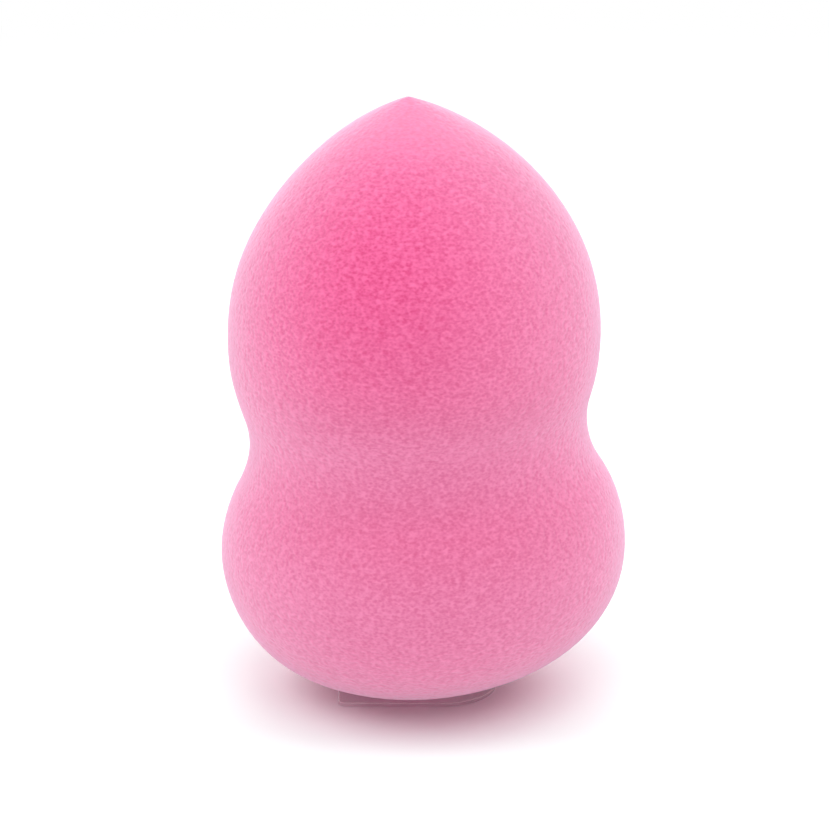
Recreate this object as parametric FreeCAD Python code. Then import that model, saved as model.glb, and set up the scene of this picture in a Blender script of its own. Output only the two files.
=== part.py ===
import FreeCAD, Part
import math
import os

# Gourd-shaped foam makeup sponge that stands on a thin clear pad.
# Millimetres and degrees. +Z is up, the tip leans towards -X, and the origin lies on the pad's
# underside, below the middle of the sponge's widest ring.

# Lower lobe of the foam body.
LOWER_LOBE_DIAMETER = 40.0
LOWER_LOBE_ARC = 12.8
BASE_SWEEP = 27.9

# Waist, pinched in from the lower lobe.
WAIST_DEPTH = 3.35
WAIST_ARC = 9.6

# Upper lobe, which swells out again from the waist.
UPPER_LOBE_SWELL = 1.55
UPPER_LOBE_ARC = 24.2

# Shoulder, flank and tip above the upper lobe's widest ring.
SHOULDER_ARC = 20.8
SHOULDER_SWEEP = 26.7
FLANK_ARC = 28.7
TIP_ROUND = 1.2

# How the body stands: its lean, and how far its own weight flattens the round base.
LEAN = 1.9
CONTACT_DEPTH = 0.3

# Clear pad under the base: square at its left corners, well rounded at its right ones.
PAD_WIDTH = 15.6
PAD_DEPTH = 15.2
PAD_THICKNESS = 0.5
PAD_LEFT_ROUND = 0.8
PAD_RIGHT_ROUND = 5.5
PAD_EDGE_ROUND = 0.12

PARTS_FOLDER = "parts"
SAME_PLACE = 1e-6
UP = FreeCAD.Vector(0, 0, 1)
ACROSS = FreeCAD.Vector(0, 1, 0)


def profile_point(radius, height):
    """Point of the profile plane, at a radius from the axis and a height above the base."""
    return FreeCAD.Vector(radius, 0, height)


def point_on_circle(centre, radius, angle):
    """Point of a circle in the profile plane, at an angle above the outward direction."""
    turn = math.radians(angle)
    return centre + profile_point(math.cos(turn), math.sin(turn)) * radius


def direction(start, end):
    """Angle above the outward direction of the line from one centre to another."""
    return math.degrees(math.atan2(end.z - start.z, end.x - start.x))


def arc(centre, radius, first_angle, last_angle):
    """Arc edge of the profile between two angles."""
    middle_angle = (first_angle + last_angle) / 2
    angles = (first_angle, middle_angle, last_angle)
    return Part.Arc(*[point_on_circle(centre, radius, angle) for angle in angles]).toShape()


def rise(reach, step):
    """Height between the centres of two touching arcs whose widest points differ by a step."""
    return math.sqrt(reach ** 2 - (reach - step) ** 2)


# Widest and narrowest radii of the body.
lower_radius = LOWER_LOBE_DIAMETER / 2
waist_radius = lower_radius - WAIST_DEPTH
upper_radius = waist_radius + UPPER_LOBE_SWELL

# The base arc is centred on the axis and runs into the lower lobe's arc after the base sweep.
base_arc = LOWER_LOBE_ARC + (lower_radius - LOWER_LOBE_ARC) / math.sin(math.radians(BASE_SWEEP))
base_end = BASE_SWEEP - 90
base_centre = profile_point(0, base_arc)
lower_centre = point_on_circle(base_centre, base_arc - LOWER_LOBE_ARC, base_end)

# The hollow waist arc touches the arcs of both lobes.
waist_height = lower_centre.z + rise(LOWER_LOBE_ARC + WAIST_ARC, WAIST_DEPTH)
waist_centre = profile_point(waist_radius + WAIST_ARC, waist_height)
upper_height = waist_height + rise(UPPER_LOBE_ARC + WAIST_ARC, UPPER_LOBE_SWELL)
upper_centre = profile_point(upper_radius - UPPER_LOBE_ARC, upper_height)

# The shoulder starts at the upper lobe's widest ring, the flank goes on to the rounded tip.
shoulder_centre = profile_point(upper_radius - SHOULDER_ARC, upper_height)
flank_centre = point_on_circle(shoulder_centre, SHOULDER_ARC - FLANK_ARC, SHOULDER_SWEEP)
tip_reach = FLANK_ARC - TIP_ROUND
tip_centre = profile_point(0, flank_centre.z + math.sqrt(tip_reach ** 2 - flank_centre.x ** 2))

# Where the round base settles on the pad, with the lower lobe's widest ring centred on the origin.
contact_x = (lower_centre.z - base_arc) * math.sin(math.radians(LEAN))


def body_profile():
    """Half section of the body: tangent arcs from the base's pole up to the tip, closed on the axis."""
    lower_end = direction(lower_centre, waist_centre)
    waist_start = lower_end + 180
    waist_end = direction(waist_centre, upper_centre)
    upper_start = waist_end - 180
    flank_end = direction(flank_centre, tip_centre)
    tip = point_on_circle(tip_centre, TIP_ROUND, 90)
    pole = profile_point(0, 0)
    edges = [
        arc(base_centre, base_arc, -90, base_end),
        arc(lower_centre, LOWER_LOBE_ARC, base_end, lower_end),
        arc(waist_centre, WAIST_ARC, waist_start, waist_end),
        arc(upper_centre, UPPER_LOBE_ARC, upper_start, 0),
        arc(shoulder_centre, SHOULDER_ARC, 0, SHOULDER_SWEEP),
        arc(flank_centre, FLANK_ARC, SHOULDER_SWEEP, flank_end),
        arc(tip_centre, TIP_ROUND, flank_end, 90),
        Part.LineSegment(tip, pole).toShape(),
    ]
    return Part.Face(Part.Wire(edges))


def foam_body():
    """One piece of foam: the profile turned about its axis, leaned, and flattened where it rests."""
    body = body_profile().revolve(FreeCAD.Vector(), UP, 360)
    body.rotate(base_centre, ACROSS, -LEAN)
    body.translate(FreeCAD.Vector(contact_x, 0, PAD_THICKNESS - CONTACT_DEPTH))
    side = LOWER_LOBE_DIAMETER
    height = 2 * CONTACT_DEPTH
    corner = FreeCAD.Vector(contact_x - side / 2, -side / 2, PAD_THICKNESS - height)
    return body.cut(Part.makeBox(side, side, height, corner)).Solids[0]


def is_upright(edge):
    """True for an edge that runs from the pad's underside to its top."""
    return edge.BoundBox.ZLength > PAD_THICKNESS / 2


def corner_edges(plate, x):
    """Upright edges of the plate at a place along its width."""
    return [edge for edge in plate.Edges if is_upright(edge) and abs(edge.CenterOfMass.x - x) < SAME_PLACE]


def clear_pad():
    """Thin plate centred under the contact, with rounded corners and softened rims."""
    left = contact_x - PAD_WIDTH / 2
    right = contact_x + PAD_WIDTH / 2
    plate = Part.makeBox(PAD_WIDTH, PAD_DEPTH, PAD_THICKNESS, FreeCAD.Vector(left, -PAD_DEPTH / 2, 0))
    plate = plate.makeFillet(PAD_LEFT_ROUND, corner_edges(plate, left))
    plate = plate.makeFillet(PAD_RIGHT_ROUND, corner_edges(plate, right))
    rims = [edge for edge in plate.Edges if not is_upright(edge)]
    return plate.makeFillet(PAD_EDGE_ROUND, rims).Solids[0]


os.makedirs(PARTS_FOLDER, exist_ok=True)
for name, solid in (("foam_body", foam_body()), ("clear_pad", clear_pad())):
    solid.exportStep(os.path.join(PARTS_FOLDER, name + ".step"))
    print(name, "is valid:", solid.isValid(), "volume in cubic mm:", round(solid.Volume, 1))
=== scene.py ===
import itertools
import math

import bpy
import numpy as np
from bpy.props import FloatProperty, FloatVectorProperty, IntProperty, PointerProperty
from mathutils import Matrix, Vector


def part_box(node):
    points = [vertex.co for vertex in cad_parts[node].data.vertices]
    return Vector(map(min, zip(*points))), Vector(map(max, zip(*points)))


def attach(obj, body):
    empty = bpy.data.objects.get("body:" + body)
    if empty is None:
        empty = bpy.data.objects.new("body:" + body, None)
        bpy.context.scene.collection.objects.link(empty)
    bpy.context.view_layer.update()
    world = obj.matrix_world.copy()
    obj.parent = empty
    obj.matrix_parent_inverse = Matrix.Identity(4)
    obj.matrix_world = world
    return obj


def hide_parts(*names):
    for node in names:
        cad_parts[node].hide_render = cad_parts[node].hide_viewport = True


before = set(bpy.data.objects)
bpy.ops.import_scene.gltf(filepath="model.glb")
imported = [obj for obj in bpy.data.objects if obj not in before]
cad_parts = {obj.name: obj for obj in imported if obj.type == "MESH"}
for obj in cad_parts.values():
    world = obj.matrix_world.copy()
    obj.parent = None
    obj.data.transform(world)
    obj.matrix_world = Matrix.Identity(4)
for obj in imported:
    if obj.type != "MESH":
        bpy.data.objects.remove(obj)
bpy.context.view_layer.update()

bl_info = {
    "name": "Makeup sponge",
    "version": (1, 0, 0),
    "blender": (4, 5, 0),
    "location": "3D View > Sidebar > Sponge",
    "description": "Gourd-shaped foam makeup sponge on a thin clear pad, with a white studio stage",
    "category": "Add Mesh",
}

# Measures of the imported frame, in metres.
FOAM_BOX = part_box("foam_body")
PAD_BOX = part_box("clear_pad")
PAD_TOP = PAD_BOX[1].z
CONTACT_X = (PAD_BOX[0].x + PAD_BOX[1].x) / 2
WIDEST = FOAM_BOX[1].y - FOAM_BOX[0].y

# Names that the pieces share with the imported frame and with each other.
FOAM_NODE = "foam_body"
PAD_NODE = "clear_pad"
PORE_ATTRIBUTE = "pore"
UV_MAP = "OFBake"

# Table of scattered places that the open pores are drawn from, and its seed.
SCATTER_TABLE = 1024
PORE_SEED = 11

# Distances from an open pore's middle where its floor ends and its rim begins, as shares of the spacing.
PORE_FLOOR = 0.1
PORE_RIM = 0.6

# Shares of open pores, fine cells and cloudy grain in how hollow a spot of the foam is, and the sums of
# the three at which it is all ridge and all hollow.
PORE_WEIGHT = 0.2
CELL_WEIGHT = 0.6
GRAIN_WEIGHT = 1.3
RIDGE_SUM = 0.35
HOLLOW_SUM = 1.55

# Detail of the noise behind the cloudy grain.
GRAIN_DETAIL = 1.0

# Axis and two side directions of each face of a cube, whose grids together cover a sphere.
CUBE_FACES = (
    ((1, 0, 0), (0, 1, 0), (0, 0, 1)),
    ((-1, 0, 0), (0, -1, 0), (0, 0, 1)),
    ((0, 1, 0), (-1, 0, 0), (0, 0, 1)),
    ((0, -1, 0), (1, 0, 0), (0, 0, 1)),
    ((0, 0, 1), (1, 0, 0), (0, 1, 0)),
    ((0, 0, -1), (-1, 0, 0), (0, 1, 0)),
)

# Columns and rows of the cube's faces on the map, and each face's margin as a share of its side.
MAP_COLUMNS = 3
MAP_ROWS = 2
MAP_MARGIN = 0.004

# Local swells and flats of the soft sides: place round the axis in degrees, where 0 is the right side,
# then height, reach up and down, and amount, in metres.
SWELLS = (
    (0, 0.0505, 0.008, 0.00031),
    (180, 0.053, 0.004, -0.0001),
    (180, 0.0335, 0.003, 0.00016),
    (180, 0.0222, 0.003, 0.00017),
    (180, 0.012, 0.006, -0.0001),
    (0, 0.011, 0.005, 0.00026),
)

# Slow waves of the soft sides: waves round the axis, radians per metre of height, and phase.
WAVES = (
    (2, 190, 0.0),
    (3, -260, 1.3),
)

# How far the pad's surface faces upwards where a wall turns into the rim, and the rim into the flat top.
RIM_START = (0.1, 0.4)
RIM_END = (0.8, 0.98)

# Detail of the noise behind the pad's handling marks, and its values where the marks start and are full.
MARK_DETAIL = 3.0
MARK_RANGE = (0.35, 0.75)

# Azimuth from the front and elevation of each softbox, in degrees.
SOFTBOXES = {"front": (0, 50), "left": (-90, 44), "right": (90, 55), "back": (180, 20), "top": (0, 90)}

# Light Path outputs of the rays by which the camera sees a surface.
SEEN_RAYS = ("Is Camera Ray", "Is Glossy Ray", "Is Transmission Ray")

# Sockets of a Mix node for its factor and its two colours, and the output of its colour.
MIX_FACTOR = 0
MIX_FIRST = 6
MIX_SECOND = 7
MIX_COLOUR = 2

# Plain colours for a colour socket.
WHITE = (1.0, 1.0, 1.0, 1.0)
BLACK = (0.0, 0.0, 0.0, 1.0)


def length(title, words, default):
    """Size property in metres."""
    return FloatProperty(
        name=title, description=words, default=default, subtype="DISTANCE", unit="LENGTH", precision=5)


def angle(title, words, degrees):
    """Angle property, whose default is given in degrees."""
    turn = math.radians(degrees)
    return FloatProperty(name=title, description=words, default=turn, subtype="ANGLE", unit="ROTATION")


def number(title, words, default):
    """Plain number property."""
    return FloatProperty(name=title, description=words, default=default, precision=4)


def colour(title, words, default, most=1):
    """Linear colour property with the most that each of its parts may be."""
    return FloatVectorProperty(
        name=title, description=words, default=default, subtype="COLOR", size=3, min=0, max=most)


def tint(title, words, default):
    """Linear colour property that may go above white."""
    return colour(title, words, default, most=2)


def place(title, words, default):
    """Place property in metres."""
    return FloatVectorProperty(
        name=title, description=words, default=default, subtype="XYZ", unit="LENGTH", size=3)


class FoamSettings(bpy.types.PropertyGroup):
    """Sizes and colours of the foam body."""

    lower_lobe_diameter: length("Lower lobe diameter", "Width of the lower lobe's widest ring", WIDEST)
    lower_lobe_arc: length("Lower lobe arc", "Radius of the lower lobe's side arc", 0.0128)
    base_sweep: angle("Base sweep", "Turn of the flat base arc from the pole", 27.9)
    waist_depth: length("Waist depth", "How far the waist is pinched in from the lower lobe", 0.00335)
    waist_arc: length("Waist arc", "Radius of the hollow waist arc", 0.0096)
    upper_lobe_swell: length("Upper lobe swell", "How far the upper lobe swells out again", 0.00155)
    upper_lobe_arc: length("Upper lobe arc", "Radius of the upper lobe's lower side arc", 0.0242)
    shoulder_arc: length("Shoulder arc", "Radius of the arc above the upper lobe's widest ring", 0.0208)
    shoulder_sweep: angle("Shoulder sweep", "Turn of the shoulder arc", 26.7)
    flank_arc: length("Flank arc", "Radius of the long arc up to the tip", 0.0287)
    tip_round: length("Tip round", "Radius of the rounded tip", 0.0012)
    lean: angle("Lean", "Lean of the whole body towards its left", 1.9)
    contact_depth: length("Contact depth", "How far the weight flattens the round base", 0.0003)
    settle: angle("Settle", "Extra lean of the soft waist, which fades out above and below it", 2.2)
    settle_base: length("Settle base", "Height below which the waist's extra lean has gone", 0.006)
    settle_low: length("Settle low", "Height above which the extra lean is full", 0.02)
    settle_high: length("Settle high", "Height where the extra lean starts to fade", 0.027)
    settle_end: length("Settle end", "Height above which the extra lean has gone", 0.036)
    base_lean: angle("Base lean", "Extra lean of the soft base, which fades out above it", 1.4)
    sag: length("Sag", "How far the soft base sinks under the body's weight", 0.00023)
    sag_low: length("Sag low", "Height below which the base sinks and leans fully", 0.003)
    sag_high: length("Sag high", "Height above which the base no longer sinks or leans", 0.014)
    contact_round: length("Contact round", "Height in which the contact runs into the base", 0.00004)
    unevenness: length("Unevenness", "Height of the slow waves of the soft sides", 0.00006)
    pore_spacing: length("Pore spacing", "Mean distance between open pores", 0.00056)
    pore_depth: length("Pore depth", "Depth of the deepest open pores", 0.00004)
    fine_cell: length("Fine cell", "Width of the fine cells between the open pores", 0.00038)
    grain: length("Grain", "Width of the cloudy grain", 0.00045)
    squash: number("Squash", "How many times wider than high the fine cells and the grain are", 1.5)
    dimple_depth: length("Dimple depth", "Depth of the fine cells' dimples", 0.0002)
    dimple_strength: number("Dimple strength", "How much the dimples turn the light", 0.2)
    cells: IntProperty(name="Cells", description="Grid cells along a patch's edge", default=192)
    skin: colour("Skin", "Colour of the foam", (1.0, 0.244, 0.482))
    # Painted shading: the rosier colour, with its place and reach, draws the upper front, which faces the
    # front light, deeper pink.
    painted_rosy_shading: colour("Rosy", "Colour of the rosier bloom on the upper front", (1.0, 0.139, 0.386))
    painted_shading_place: place("Bloom place", "Middle of the rosier bloom", (-0.0056, -0.0155, 0.048))
    painted_shading_reach: length("Bloom reach", "Distance at which the bloom has faded out", 0.0205)
    # Painted light and shade: paler and deeper bands on the lower front, where light falls on the waist and
    # the upper lobe shades the lower lobe's top.
    painted_band_height: length("Band height", "Height of the paler band at the waist's front", 0.0285)
    painted_band_pitch: length("Band pitch", "Height from one paler band to the next", 0.0144)
    painted_band_low: length("Band low", "Height where the bands start to fade out", 0.031)
    painted_band_high: length("Band high", "Height above which there are no bands", 0.037)
    painted_band_front: length("Band front", "Distance in front of the axis where the bands are full", 0.0165)
    painted_band_side: length("Band side", "Distance in front of the axis where the bands have gone", 0.006)
    painted_band_floor: length("Band floor", "Height below which the lowest pale band goes on", 0.0141)
    # Painted light and painted shade: tones of the paler and the deeper bands.
    painted_light_band: tint("Pale band", "Tone of the paler bands, as a share of the colour", (0.97, 1.125, 1.05))
    painted_shade_band: tint(
        "Deep band", "Tone of the deeper bands, as a share of the colour", (0.925, 0.915, 0.915))
    # Painted glow: the underside emits a little pink light, in place of light that passes through the foam.
    painted_glow: colour("Glow", "Light that comes through the foam to its underside", (0.15, 0.048, 0.085))
    painted_glow_low: length("Glow low", "Height below which that light is full", 0.0007)
    painted_glow_high: length("Glow high", "Height above which that light has gone", 0.0013)
    ridge: colour("Ridge", "Tone of the walls between pores, as a share of the colour", (1.0, 1.0, 1.0))
    hollow: colour("Hollow", "Tone inside the pores, as a share of the colour", (0.815, 0.5, 0.63))
    # Painted shading: pore tone of the deeper pink patch on the upper front.
    painted_rosy_shading_hollow: colour("Rosy hollow", "Tone inside the pores of the rosier bloom", (0.77, 0.23, 0.51))
    # Painted light: towards the tip the pores only get a paler tone, which lightens the tip and fades its
    # grain as light from above does.
    painted_light_tip_hollow: colour("Tip hollow", "Tone inside the shallower pores of the tip", (0.86, 0.74, 0.76))
    painted_light_tip_low: length("Tip low", "Height where the pores start to get shallower", 0.0538)
    painted_light_tip_high: length("Tip high", "Height above which the pores are shallowest", 0.0585)
    fuzz: colour("Fuzz", "Colour of the velvety sheen", (1.0, 0.8, 0.98))
    fuzz_weight: number("Fuzz weight", "Strength of the velvety sheen", 1.0)
    fuzz_roughness: number("Fuzz roughness", "Spread of the velvety sheen", 0.6)
    roughness: number("Roughness", "Roughness of the cell walls", 0.95)
    shine: number("Shine", "Strength of the cell walls' faint highlights", 0.1)


class PadSettings(bpy.types.PropertyGroup):
    """Finish of the clear pad."""

    # The film's and the side walls' colours are partly a faint grey of their own and partly a pink tint
    # painted in as light bounced from the sponge.
    film: colour("Film", "Colour of the clear film's faces", (0.85, 0.55, 0.68))
    side_wall_painted_pink: colour("Side wall", "Colour of the thin side walls", (0.78, 0.52, 0.62))
    # Painted highlight: the rounded upper rim is drawn lighter and less see-through than the faces.
    painted_highlight_rim: colour("Light rim", "Colour of the rounded upper rim", (0.95, 0.88, 0.91))
    veil: number("Veil", "How much the flat faces hide what lies behind them", 0.06)
    wall_veil: number("Wall veil", "How much the thin side walls hide what lies behind them", 0.3)
    highlight_rim_veil: number("Rim veil", "How much the upper rim hides what lies behind it", 0.6)
    gloss: number("Gloss", "Roughness of the polished film", 0.06)
    haze: number("Haze", "Extra roughness of its handling marks", 0.2)
    mark_size: length("Mark size", "Width of the handling marks", 0.0017)
    refraction: number("Refraction", "Index of refraction of the film", 1.49)


class StageSettings(bpy.types.PropertyGroup):
    """Camera, floor and light of the stage."""

    camera_place: place("Camera place", "Where the camera stands", (0.000484, -0.38042, 0.15382))
    camera_aim: place("Camera aim", "Point at the middle of the picture", (-0.0007445, -0.000653, 0.028206))
    lens: number("Lens", "Focal length in millimetres", 176.74)
    sensor: number("Sensor", "Width of the camera's sensor in millimetres", 36.0)
    floor_size: length("Floor size", "Side of the square floor", 6.0)
    floor_gap: length("Floor gap", "How far the floor lies below the pad", 0.00002)
    floor_white: tint("Floor white", "Floor as the camera sees it, where 1 is white", (0.985, 1.14, 1.1))
    shadow_reach: length("Shadow reach", "Distance from the object to which the floor shows shadow", 0.12)
    white_reach: length("White reach", "Distance beyond which the floor is plain white", 0.3)
    floor_grey: number("Floor grey", "Whiteness of the floor as the object sees it", 0.9)
    dome: number("Dome", "Strength of the even light from all round", 0.52)
    lamp_distance: length("Lamp distance", "Distance of the round softboxes from the object", 1.2)
    lamp_size: length("Lamp size", "Width of the round softboxes", 0.9)
    front_power: number("Front power", "Watts of the softbox above the camera", 2.35)
    left_power: number("Left power", "Watts of the softbox on the left", 3.65)
    right_power: number("Right power", "Watts of the softbox on the right", 3.4)
    back_power: number("Back power", "Watts of the low softbox behind", 5.6)
    top_power: number("Top power", "Watts of the softbox overhead", 2.8)


class Signal:
    """One output of a node tree. Operators between values add Math nodes."""

    def __init__(self, tree, socket=None):
        self.tree = tree
        self.socket = socket

    def node(self, kind, settings, sockets, output=0):
        """New node of a kind: its settings are set first, then the values or links of its sockets."""
        made = self.tree.nodes.new(kind)
        for name, value in settings.items():
            setattr(made, name, value)
        for name, value in sockets.items():
            if isinstance(value, Signal):
                self.tree.links.new(value.socket, made.inputs[name])
            else:
                made.inputs[name].default_value = value
        return Signal(self.tree, made.outputs[output] if made.outputs else None)

    def output(self, name):
        """Another output of the same node."""
        return Signal(self.tree, self.socket.node.outputs[name])

    def maths(self, operation, *values):
        """Math node on one or more values."""
        return self.node("ShaderNodeMath", {"operation": operation}, dict(enumerate(values)))

    def between(self, low, high):
        """Smooth step of a value, from 0 at low to 1 at high."""
        limits = {"Value": self, "From Min": low, "From Max": high}
        return self.node("ShaderNodeMapRange", {"interpolation_type": "SMOOTHSTEP"}, limits)

    def blend(self, first, second):
        """Mix of two colours, with this value as the share of the second."""
        ends = {MIX_FACTOR: self, MIX_FIRST: first, MIX_SECOND: second}
        return self.node("ShaderNodeMix", {"data_type": "RGBA"}, ends, MIX_COLOUR)

    def tinted(self, shade):
        """This colour multiplied by another."""
        kind = {"data_type": "RGBA", "blend_type": "MULTIPLY"}
        ends = {MIX_FACTOR: 1.0, MIX_FIRST: self, MIX_SECOND: shade}
        return self.node("ShaderNodeMix", kind, ends, MIX_COLOUR)

    def __add__(self, other):
        return self.maths("ADD", self, other)

    def __sub__(self, other):
        return self.maths("SUBTRACT", self, other)

    def __rsub__(self, other):
        return self.maths("SUBTRACT", other, self)

    def __mul__(self, other):
        return self.maths("MULTIPLY", self, other)

    __radd__ = __add__
    __rmul__ = __mul__


def new_material(name):
    """Empty node material, and the signal that starts its tree."""
    material = bpy.data.materials.new(name)
    material.use_nodes = True
    material.node_tree.nodes.clear()
    return material, Signal(material.node_tree)


def opaque(rgb):
    """Linear colour with full alpha, for a colour socket."""
    return (*rgb, 1.0)


def foam_colour_and_painted_shading(start, size, where, plain):
    """Colour of the foam, where plain is 0 in the middle of the rosier patch and 1 outside it. The rosier
    patch on the upper front is painted shading: the side that faces the front light is drawn deeper pink.

    Soft bands on the lower front follow a cosine of the height, and the lowest pale one goes on below. They
    are painted light and shade: paler at the waist and over the lower front, deeper on the lower lobe's top
    under the upper lobe.
    """
    spot = start.node("ShaderNodeSeparateXYZ", {}, {"Vector": where})
    height = spot.output("Z")
    climb = spot.maths("MAXIMUM", height, size.painted_band_floor) - size.painted_band_height
    wave = spot.maths("COSINE", climb * (2 * math.pi / size.painted_band_pitch))
    # Painted light and shade in bands across the lower front.
    bands = (0.5 + 0.5 * wave).blend(opaque(size.painted_shade_band), opaque(size.painted_light_band))
    below = 1 - height.between(size.painted_band_low, size.painted_band_high)
    front = 1 - spot.output("Y").between(-size.painted_band_front, -size.painted_band_side)
    band = (below * front).blend(WHITE, bands)
    return plain.blend(opaque(size.painted_rosy_shading), opaque(size.skin)).tinted(band)


def foam_hollow(start, size, where):
    """How hollow the foam is: 0 on the walls, and 1 inside the pores, the cells and the darker grain."""
    open_pore = start.node("ShaderNodeAttribute", {"attribute_name": PORE_ATTRIBUTE}, {}, "Fac")
    squash = {0: where, 1: (1.0, 1.0, size.squash)}
    flattened = start.node("ShaderNodeVectorMath", {"operation": "MULTIPLY"}, squash)
    cell_gap = start.node("ShaderNodeTexVoronoi", {}, {"Vector": flattened, "Scale": 1 / size.fine_cell})
    cloud = {"Vector": flattened, "Scale": 1 / size.grain, "Detail": GRAIN_DETAIL}
    grain = start.node("ShaderNodeTexNoise", {}, cloud)
    depth = PORE_WEIGHT * open_pore + CELL_WEIGHT * (1 - cell_gap) + GRAIN_WEIGHT * (1 - grain)
    return depth.between(RIDGE_SUM, HOLLOW_SUM)


def foam_material(size):
    """Velvety pink foam, mottled by the walls and hollows of fine open pores.

    Painted shading makes the pores rosier on the upper front, painted light gives the pores at the tip a
    paler tone, and a painted glow lights the underside in place of light that comes through the foam.
    """
    material, start = new_material("pink_foam")
    where = start.node("ShaderNodeTexCoord", {}, {}, "Object")
    height = start.node("ShaderNodeSeparateXYZ", {}, {"Vector": where}, "Z")
    # Painted shading: a deeper pink patch round a point on the upper front, fading with the distance from
    # it.
    ends = {0: where, 1: size.painted_shading_place}
    painted_shading_gap = start.node("ShaderNodeVectorMath", {"operation": "DISTANCE"}, ends, "Value")
    plain = painted_shading_gap.between(0.0, size.painted_shading_reach)
    hollow = foam_hollow(start, size, where)
    hollow_with_painted_shading = plain.blend(opaque(size.painted_rosy_shading_hollow), opaque(size.hollow))
    # Painted light: paler pore tone towards the tip.
    hollow_with_painted_light = height.between(size.painted_light_tip_low, size.painted_light_tip_high).blend(hollow_with_painted_shading, opaque(size.painted_light_tip_hollow))
    tone = hollow.blend(opaque(size.ridge), hollow_with_painted_light)
    dimpling = {"Strength": size.dimple_strength, "Distance": size.dimple_depth, "Height": 1 - hollow}
    sockets = {
        "Base Color": foam_colour_and_painted_shading(start, size, where, plain).tinted(tone),
        # Painted glow on the underside, by emission.
        "Emission Color": height.between(size.painted_glow_low, size.painted_glow_high).blend(opaque(size.painted_glow), BLACK),
        "Emission Strength": 1.0,
        "Roughness": size.roughness,
        "Specular IOR Level": size.shine,
        "Sheen Weight": size.fuzz_weight,
        "Sheen Roughness": size.fuzz_roughness,
        "Sheen Tint": opaque(size.fuzz),
        "Normal": start.node("ShaderNodeBump", {}, dimpling),
    }
    surface = start.node("ShaderNodeBsdfPrincipled", {}, sockets)
    start.node("ShaderNodeOutputMaterial", {}, {"Surface": surface})
    return material


def pad_material(size):
    """Clear film: see-through faces with faint handling marks, and a painted highlight on the upper rim,
    which is drawn lighter and less see-through.
    """
    material, start = new_material("clear_plastic")
    where = start.node("ShaderNodeTexCoord", {}, {}, "Object")
    cloud = {"Vector": where, "Scale": 1 / size.mark_size, "Detail": MARK_DETAIL}
    marks = start.node("ShaderNodeTexNoise", {}, cloud).between(*MARK_RANGE)
    facing = start.node("ShaderNodeNewGeometry", {}, {}, "Normal")
    upward = start.node("ShaderNodeSeparateXYZ", {}, {"Vector": facing}, "Z")
    # Painted highlight along the rounded upper rim.
    rim = upward.between(*RIM_START) - upward.between(*RIM_END)
    wall = 1 - upward.maths("ABSOLUTE", upward).between(*RIM_START)
    # Pink tint of faces and walls: painted light bounced from the sponge.
    face = wall.blend(opaque(size.film), opaque(size.side_wall_painted_pink))
    sockets = {
        "Base Color": rim.blend(face, opaque(size.painted_highlight_rim)),
        "Roughness": size.gloss + size.haze * marks,
        "IOR": size.refraction,
        "Alpha": size.veil + (size.highlight_rim_veil - size.veil) * rim + (size.wall_veil - size.veil) * wall,
    }
    surface = start.node("ShaderNodeBsdfPrincipled", {}, sockets)
    start.node("ShaderNodeOutputMaterial", {}, {"Surface": surface})
    return material


def seen_rays(start):
    """1 on rays that show a surface to the camera, also by way of gloss or glass, and 0 on others."""
    rays = [start.node("ShaderNodeLightPath", {}, {}, name) for name in SEEN_RAYS]
    return start.maths("MINIMUM", sum(rays[1:], rays[0]), 1.0)


def floor_material(size):
    """Floor that is pale grey to the object, and white with its shadow to the camera.

    Far from the object it is plain white to the camera, so that no horizon shows.
    """
    material, start = new_material("white_floor")
    where = start.node("ShaderNodeTexCoord", {}, {}, "Object")
    away = start.node("ShaderNodeVectorMath", {"operation": "LENGTH"}, {0: where}, "Value")
    fade = away.between(size.shadow_reach, size.white_reach)
    near = start.node("ShaderNodeBsdfDiffuse", {}, {"Color": opaque(size.floor_white)})
    far = start.node("ShaderNodeEmission", {}, {"Color": WHITE})
    to_camera = start.node("ShaderNodeMixShader", {}, {0: fade, 1: near, 2: far})
    to_object = start.node("ShaderNodeBsdfDiffuse", {}, {"Color": opaque([size.floor_grey] * 3)})
    surface = start.node("ShaderNodeMixShader", {}, {0: seen_rays(start), 1: to_object, 2: to_camera})
    start.node("ShaderNodeOutputMaterial", {}, {"Surface": surface})
    return material


def rise(reach, step):
    """Height between the centres of two touching arcs whose widest points differ by a step."""
    return math.sqrt(reach ** 2 - (reach - step) ** 2)


def towards(centre, reach, turn):
    """Point at a distance from a centre, at an angle above the outward direction."""
    return centre[0] + reach * math.cos(turn), centre[1] + reach * math.sin(turn)


def turn_between(start, end):
    """Angle above the outward direction of the line between two centres."""
    return math.atan2(end[1] - start[1], end[0] - start[0])


def base_radius(size):
    """Radius of the base arc, which is centred on the axis and runs into the lower lobe's arc."""
    inset = size.lower_lobe_diameter / 2 - size.lower_lobe_arc
    return size.lower_lobe_arc + inset / math.sin(size.base_sweep)


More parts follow.
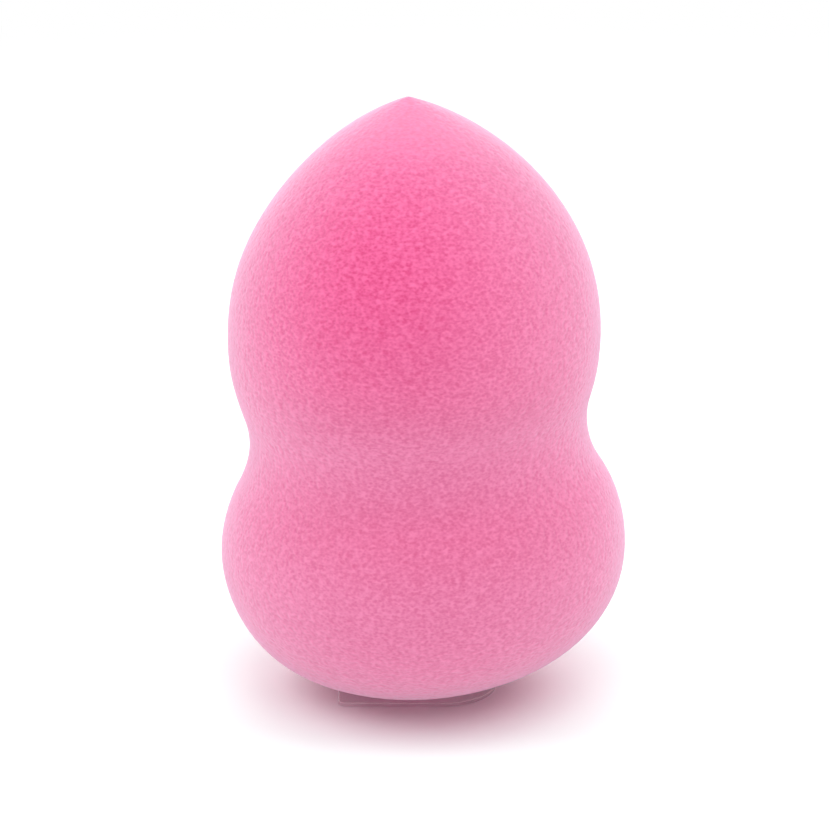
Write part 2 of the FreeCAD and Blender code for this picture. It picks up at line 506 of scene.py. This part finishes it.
def foam_arcs(size):
    """Seven tangent arcs of the half section, from the base's pole to the tip.

    A row holds the centre's distance from the axis and height, the radius, and the first and last
    angle above the outward direction. The hollow waist arc runs backwards.
    """
    waist_radius = size.lower_lobe_diameter / 2 - size.waist_depth
    upper_radius = waist_radius + size.upper_lobe_swell
    base_arc = base_radius(size)
    base_end = size.base_sweep - math.pi / 2
    base_centre = (0.0, base_arc)
    lower_centre = towards(base_centre, base_arc - size.lower_lobe_arc, base_end)
    waist_height = lower_centre[1] + rise(size.lower_lobe_arc + size.waist_arc, size.waist_depth)
    waist_centre = (waist_radius + size.waist_arc, waist_height)
    upper_height = waist_height + rise(size.upper_lobe_arc + size.waist_arc, size.upper_lobe_swell)
    upper_centre = (upper_radius - size.upper_lobe_arc, upper_height)
    shoulder_centre = (upper_radius - size.shoulder_arc, upper_height)
    flank_centre = towards(shoulder_centre, size.shoulder_arc - size.flank_arc, size.shoulder_sweep)
    tip_reach = size.flank_arc - size.tip_round
    tip_centre = (0.0, flank_centre[1] + math.sqrt(tip_reach ** 2 - flank_centre[0] ** 2))
    lower_end = turn_between(lower_centre, waist_centre)
    waist_end = turn_between(waist_centre, upper_centre)
    flank_end = turn_between(flank_centre, tip_centre)
    return np.array([
        (*base_centre, base_arc, -math.pi / 2, base_end),
        (*lower_centre, size.lower_lobe_arc, base_end, lower_end),
        (*waist_centre, size.waist_arc, lower_end + math.pi, waist_end),
        (*upper_centre, size.upper_lobe_arc, waist_end - math.pi, 0.0),
        (*shoulder_centre, size.shoulder_arc, 0.0, size.shoulder_sweep),
        (*flank_centre, size.flank_arc, size.shoulder_sweep, flank_end),
        (*tip_centre, size.tip_round, flank_end, math.pi / 2),
    ])


def half_section(size, share):
    """Radius, height and outward direction of the half section at shares of its whole length.

    On each arc the point is the centre plus the radius times (cosine, sine) of an angle that runs
    evenly from the arc's first angle to its last one.
    """
    out, up, bend, first, last = foam_arcs(size).T
    sweep = last - first
    ends = np.cumsum(np.abs(bend * sweep))
    distance = share * ends[-1]
    row = np.minimum(np.searchsorted(ends, distance), len(ends) - 1)
    left = (ends[row] - distance) / bend[row]
    side = np.sign(sweep[row])
    turn = last[row] - side * left
    radius = np.maximum(out[row] + bend[row] * np.cos(turn), 0)
    height = up[row] + bend[row] * np.sin(turn)
    return radius, height, side * np.cos(turn), side * np.sin(turn)


def smooth_step(value, low, high):
    """0 below low, 1 above high, and the cubic 3t^2 - 2t^3 between them."""
    share = np.clip((value - low) / (high - low), 0, 1)
    return share ** 2 * (3 - 2 * share)


def pore_field(points, spacing):
    """Depth from 0 to 1 of the open pores at points.

    Every cell of a cubic lattice holds one pore at a scattered place, and the depth falls smoothly
    with the distance to the nearest pore.
    """
    scatter = np.random.default_rng(PORE_SEED)
    order = scatter.permutation(SCATTER_TABLE)
    offsets = scatter.random((SCATTER_TABLE, 3))
    scaled = points / spacing
    cell = np.floor(scaled).astype(int)
    nearest = np.full(len(points), np.inf)
    for step in itertools.product((-1, 0, 1), repeat=3):
        beside = cell + step
        index = order[beside[:, 0] % SCATTER_TABLE] + beside[:, 1]
        index = order[index % SCATTER_TABLE] + beside[:, 2]
        index = order[index % SCATTER_TABLE]
        gap = np.linalg.norm(scaled - beside - offsets[index], axis=1)
        nearest = np.minimum(nearest, gap)
    return 1 - smooth_step(nearest, PORE_FLOOR, PORE_RIM)


def cell_corners(grids):
    """Values at the four corners of every cell of some grids, anticlockwise."""
    corners = (grids[:, :-1, :-1], grids[:, 1:, :-1], grids[:, 1:, 1:], grids[:, :-1, 1:])
    return np.stack(corners, 3)


def cube_grid(cells):
    """Six square grids on a cube, merged at its edges.

    Returns the directions of the merged points, four point numbers for each cell, and four map
    places for each cell. Lattice steps are spread by a tangent, so that they turn by equal angles.
    """
    steps = np.arange(cells + 1)
    across, along = np.meshgrid(steps, steps, indexing="ij")
    lattice = []
    places = []
    for patch, face in enumerate(CUBE_FACES):
        axis, right, up = np.array(face)
        sideways = (2 * across[..., None] - cells) * right
        upwards = (2 * along[..., None] - cells) * up
        lattice.append((cells * (axis + 1) + sideways + upwards) // 2)
        corner = np.array((patch % MAP_COLUMNS, patch // MAP_COLUMNS))
        inside = MAP_MARGIN + (1 - 2 * MAP_MARGIN) * np.stack((across, along), -1) / cells
        places.append((corner + inside) / (MAP_COLUMNS, MAP_ROWS))
    lattice = np.array(lattice)
    places = np.array(places)
    side = cells + 1
    code = (lattice[..., 0] * side + lattice[..., 1]) * side + lattice[..., 2]
    merged, numbers = np.unique(code, return_inverse=True)
    numbers = numbers.reshape(code.shape)
    steps_of_points = np.stack((merged // side ** 2, merged // side % side, merged % side), -1)
    directions = np.tan((2 * steps_of_points / cells - 1) * math.pi / 4)
    return directions, cell_corners(numbers).reshape(-1, 4), cell_corners(places).reshape(-1, 2)


def relief(size, turn, radius, height, pores):
    """How far the foam's points move outwards.

    A slow wave is a sine of the turn and the height that dies out with the radius. A swell is its
    amount times the squared cosine of the turn from its side, times exp(-((h - middle) / reach)^2).
    Pores move inwards.
    """
    push = -size.pore_depth * pores
    for waves, climb, phase in WAVES:
        push += size.unevenness * radius / WIDEST * np.sin(waves * turn + climb * height + phase)
    for side, middle, reach, amount in SWELLS:
        facing = np.maximum(np.cos(turn - math.radians(side)), 0)
        push += amount * facing ** 2 * np.exp(-((height - middle) / reach) ** 2)
    return push


def settled(size, points):
    """Points of the upright body as it stands on the pad.

    The body leans about the base arc's centre. Its waist and base lean further by shears that fade
    with height, its base sinks, and the smooth maximum (a + sqrt(a^2 + r^2)) / 2 of the height above
    the pad flattens the contact.
    """
    pivot = base_radius(size)
    x = points[:, 0] * math.cos(size.lean) - (points[:, 2] - pivot) * math.sin(size.lean)
    z = points[:, 0] * math.sin(size.lean) + (points[:, 2] - pivot) * math.cos(size.lean) + pivot
    waist = smooth_step(z, size.settle_base, size.settle_low)
    waist = waist - smooth_step(z, size.settle_high, size.settle_end)
    base = 1 - smooth_step(z, size.sag_low, size.sag_high)
    tilt = math.tan(size.settle) * waist + math.tan(size.base_lean) * base
    above = z - size.contact_depth + tilt * x - size.sag * base
    z = PAD_TOP + (above + np.sqrt(above ** 2 + size.contact_round ** 2)) / 2
    return np.stack((x + CONTACT_X, points[:, 1], z), -1)


def foam_surface(size, directions):
    """Points of the foam body and their pore depths, for directions from its middle.

    The angle from straight down gives the share along the half section, and the angle round the axis
    turns it: (r cos t, r sin t, h). The relief moves each point along its outward direction.
    """
    flat = np.hypot(directions[:, 0], directions[:, 1])
    share = np.arctan2(flat, -directions[:, 2]) / math.pi
    turn = np.arctan2(directions[:, 1], directions[:, 0])
    radius, height, outward, upward = half_section(size, share)
    points = np.stack((radius * np.cos(turn), radius * np.sin(turn), height), -1)
    normals = np.stack((outward * np.cos(turn), outward * np.sin(turn), upward), -1)
    pores = pore_field(points, size.pore_spacing)
    push = relief(size, turn, radius, height, pores)
    return settled(size, points + normals * push[:, None]), pores


def mesh_object(name, points, quads, map_places):
    """Object at the origin, with a smooth mesh of four-sided faces and its own map."""
    mesh = bpy.data.meshes.new(name)
    mesh.vertices.add(len(points))
    mesh.vertices.foreach_set("co", points.ravel())
    mesh.loops.add(quads.size)
    mesh.loops.foreach_set("vertex_index", quads.ravel())
    mesh.polygons.add(len(quads))
    mesh.polygons.foreach_set("loop_start", np.arange(0, quads.size, 4))
    mesh.update(calc_edges=True)
    mesh.shade_smooth()
    layer = mesh.uv_layers.new(name=UV_MAP)
    layer.uv.foreach_set("vector", map_places.ravel())
    made = bpy.data.objects.new(name, mesh)
    bpy.context.scene.collection.objects.link(made)
    return made


class SPONGE_OT_foam(bpy.types.Operator):
    """Build the foam body in place of its plain solid"""

    bl_idname = "sponge.foam"
    bl_label = "Foam body"

    def execute(self, context):
        size = context.scene.sponge_foam
        directions, quads, map_places = cube_grid(size.cells)
        points, pores = foam_surface(size, directions)
        foam = mesh_object("foam", points, quads, map_places)
        depths = foam.data.attributes.new(PORE_ATTRIBUTE, "FLOAT", "POINT")
        depths.data.foreach_set("value", pores)
        foam.data.materials.append(foam_material(size))
        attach(foam, "sponge")
        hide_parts(FOAM_NODE)
        return {"FINISHED"}


class SPONGE_OT_pad(bpy.types.Operator):
    """Give the clear pad its finish"""

    bl_idname = "sponge.pad"
    bl_label = "Clear pad"

    def execute(self, context):
        finish = pad_material(context.scene.sponge_pad)
        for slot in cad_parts[PAD_NODE].material_slots:
            slot.material = finish
        return {"FINISHED"}


class SPONGE_OT_stage(bpy.types.Operator):
    """Set up the white floor, the soft light and the camera"""

    bl_idname = "sponge.stage"
    bl_label = "Stage"

    def execute(self, context):
        size = context.scene.sponge_stage
        self.lay_floor(context.scene, size)
        self.light(context.scene, size)
        self.aim_camera(context.scene, size)
        context.scene.view_settings.view_transform = "Standard"
        return {"FINISHED"}

    def lay_floor(self, scene, size):
        """Flat square just below the pad."""
        steps = np.array((-0.5, 0.5)) * size.floor_size
        x, y = np.meshgrid(steps, steps)
        points = np.stack((x, y, np.full_like(x, -size.floor_gap)), -1).reshape(-1, 3)
        mesh = bpy.data.meshes.new("floor")
        mesh.from_pydata(points, [], [(0, 1, 3, 2)])
        mesh.materials.append(floor_material(size))
        floor = bpy.data.objects.new("floor", mesh)
        scene.collection.objects.link(floor)

    def light(self, scene, size):
        """Even white dome, and large round softboxes that face the object."""
        world = bpy.data.worlds.new("white_dome")
        world.use_nodes = True
        world.node_tree.nodes.clear()
        start = Signal(world.node_tree)
        strength = size.dome + seen_rays(start) * (1 - size.dome)
        dome = start.node("ShaderNodeBackground", {}, {"Color": WHITE, "Strength": strength})
        start.node("ShaderNodeOutputWorld", {}, {"Surface": dome})
        scene.world = world
        for name, (azimuth, elevation) in SOFTBOXES.items():
            lamp = bpy.data.lights.new(name + "_softbox", "AREA")
            lamp.shape = "DISK"
            lamp.size = size.lamp_size
            lamp.energy = getattr(size, name + "_power")
            holder = bpy.data.objects.new(lamp.name, lamp)
            flat = math.cos(math.radians(elevation))
            turn = math.radians(azimuth)
            aim = Vector((flat * math.sin(turn), -flat * math.cos(turn), math.sin(math.radians(elevation))))
            holder.location = aim * size.lamp_distance
            holder.rotation_euler = aim.to_track_quat("Z", "Y").to_euler()
            scene.collection.objects.link(holder)

    def aim_camera(self, scene, size):
        """Camera at its place, turned to its aim."""
        optics = bpy.data.cameras.new("camera")
        optics.lens = size.lens
        optics.sensor_width = size.sensor
        camera = bpy.data.objects.new("camera", optics)
        camera.location = size.camera_place
        aim = Vector(size.camera_aim) - Vector(size.camera_place)
        camera.rotation_euler = aim.to_track_quat("-Z", "Y").to_euler()
        scene.collection.objects.link(camera)
        scene.camera = camera


class VIEW3D_PT_sponge(bpy.types.Panel):
    """Sidebar panel with the sponge's settings and operators"""

    bl_label = "Makeup sponge"
    bl_space_type = "VIEW_3D"
    bl_region_type = "UI"
    bl_category = "Sponge"

    def draw(self, context):
        for group, operator in GROUPS.items():
            box = self.layout.box()
            settings = getattr(context.scene, group)
            for name in settings.__annotations__:
                box.prop(settings, name)
            box.operator(operator.bl_idname)


GROUPS = {"sponge_foam": SPONGE_OT_foam, "sponge_pad": SPONGE_OT_pad, "sponge_stage": SPONGE_OT_stage}
SETTINGS = {"sponge_foam": FoamSettings, "sponge_pad": PadSettings, "sponge_stage": StageSettings}


def register():
    """Register the settings, the operators and the panel."""
    for name, group in SETTINGS.items():
        bpy.utils.register_class(group)
        setattr(bpy.types.Scene, name, PointerProperty(type=group))
    for operator in GROUPS.values():
        bpy.utils.register_class(operator)
    bpy.utils.register_class(VIEW3D_PT_sponge)


def unregister():
    """Take out what register puts in."""
    bpy.utils.unregister_class(VIEW3D_PT_sponge)
    for operator in GROUPS.values():
        bpy.utils.unregister_class(operator)
    for name, group in SETTINGS.items():
        delattr(bpy.types.Scene, name)
        bpy.utils.unregister_class(group)


def main():
    """Register the add-on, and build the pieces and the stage."""
    register()
    bpy.ops.sponge.foam()
    bpy.ops.sponge.pad()
    bpy.ops.sponge.stage()


if __name__ == "__main__":
    main()
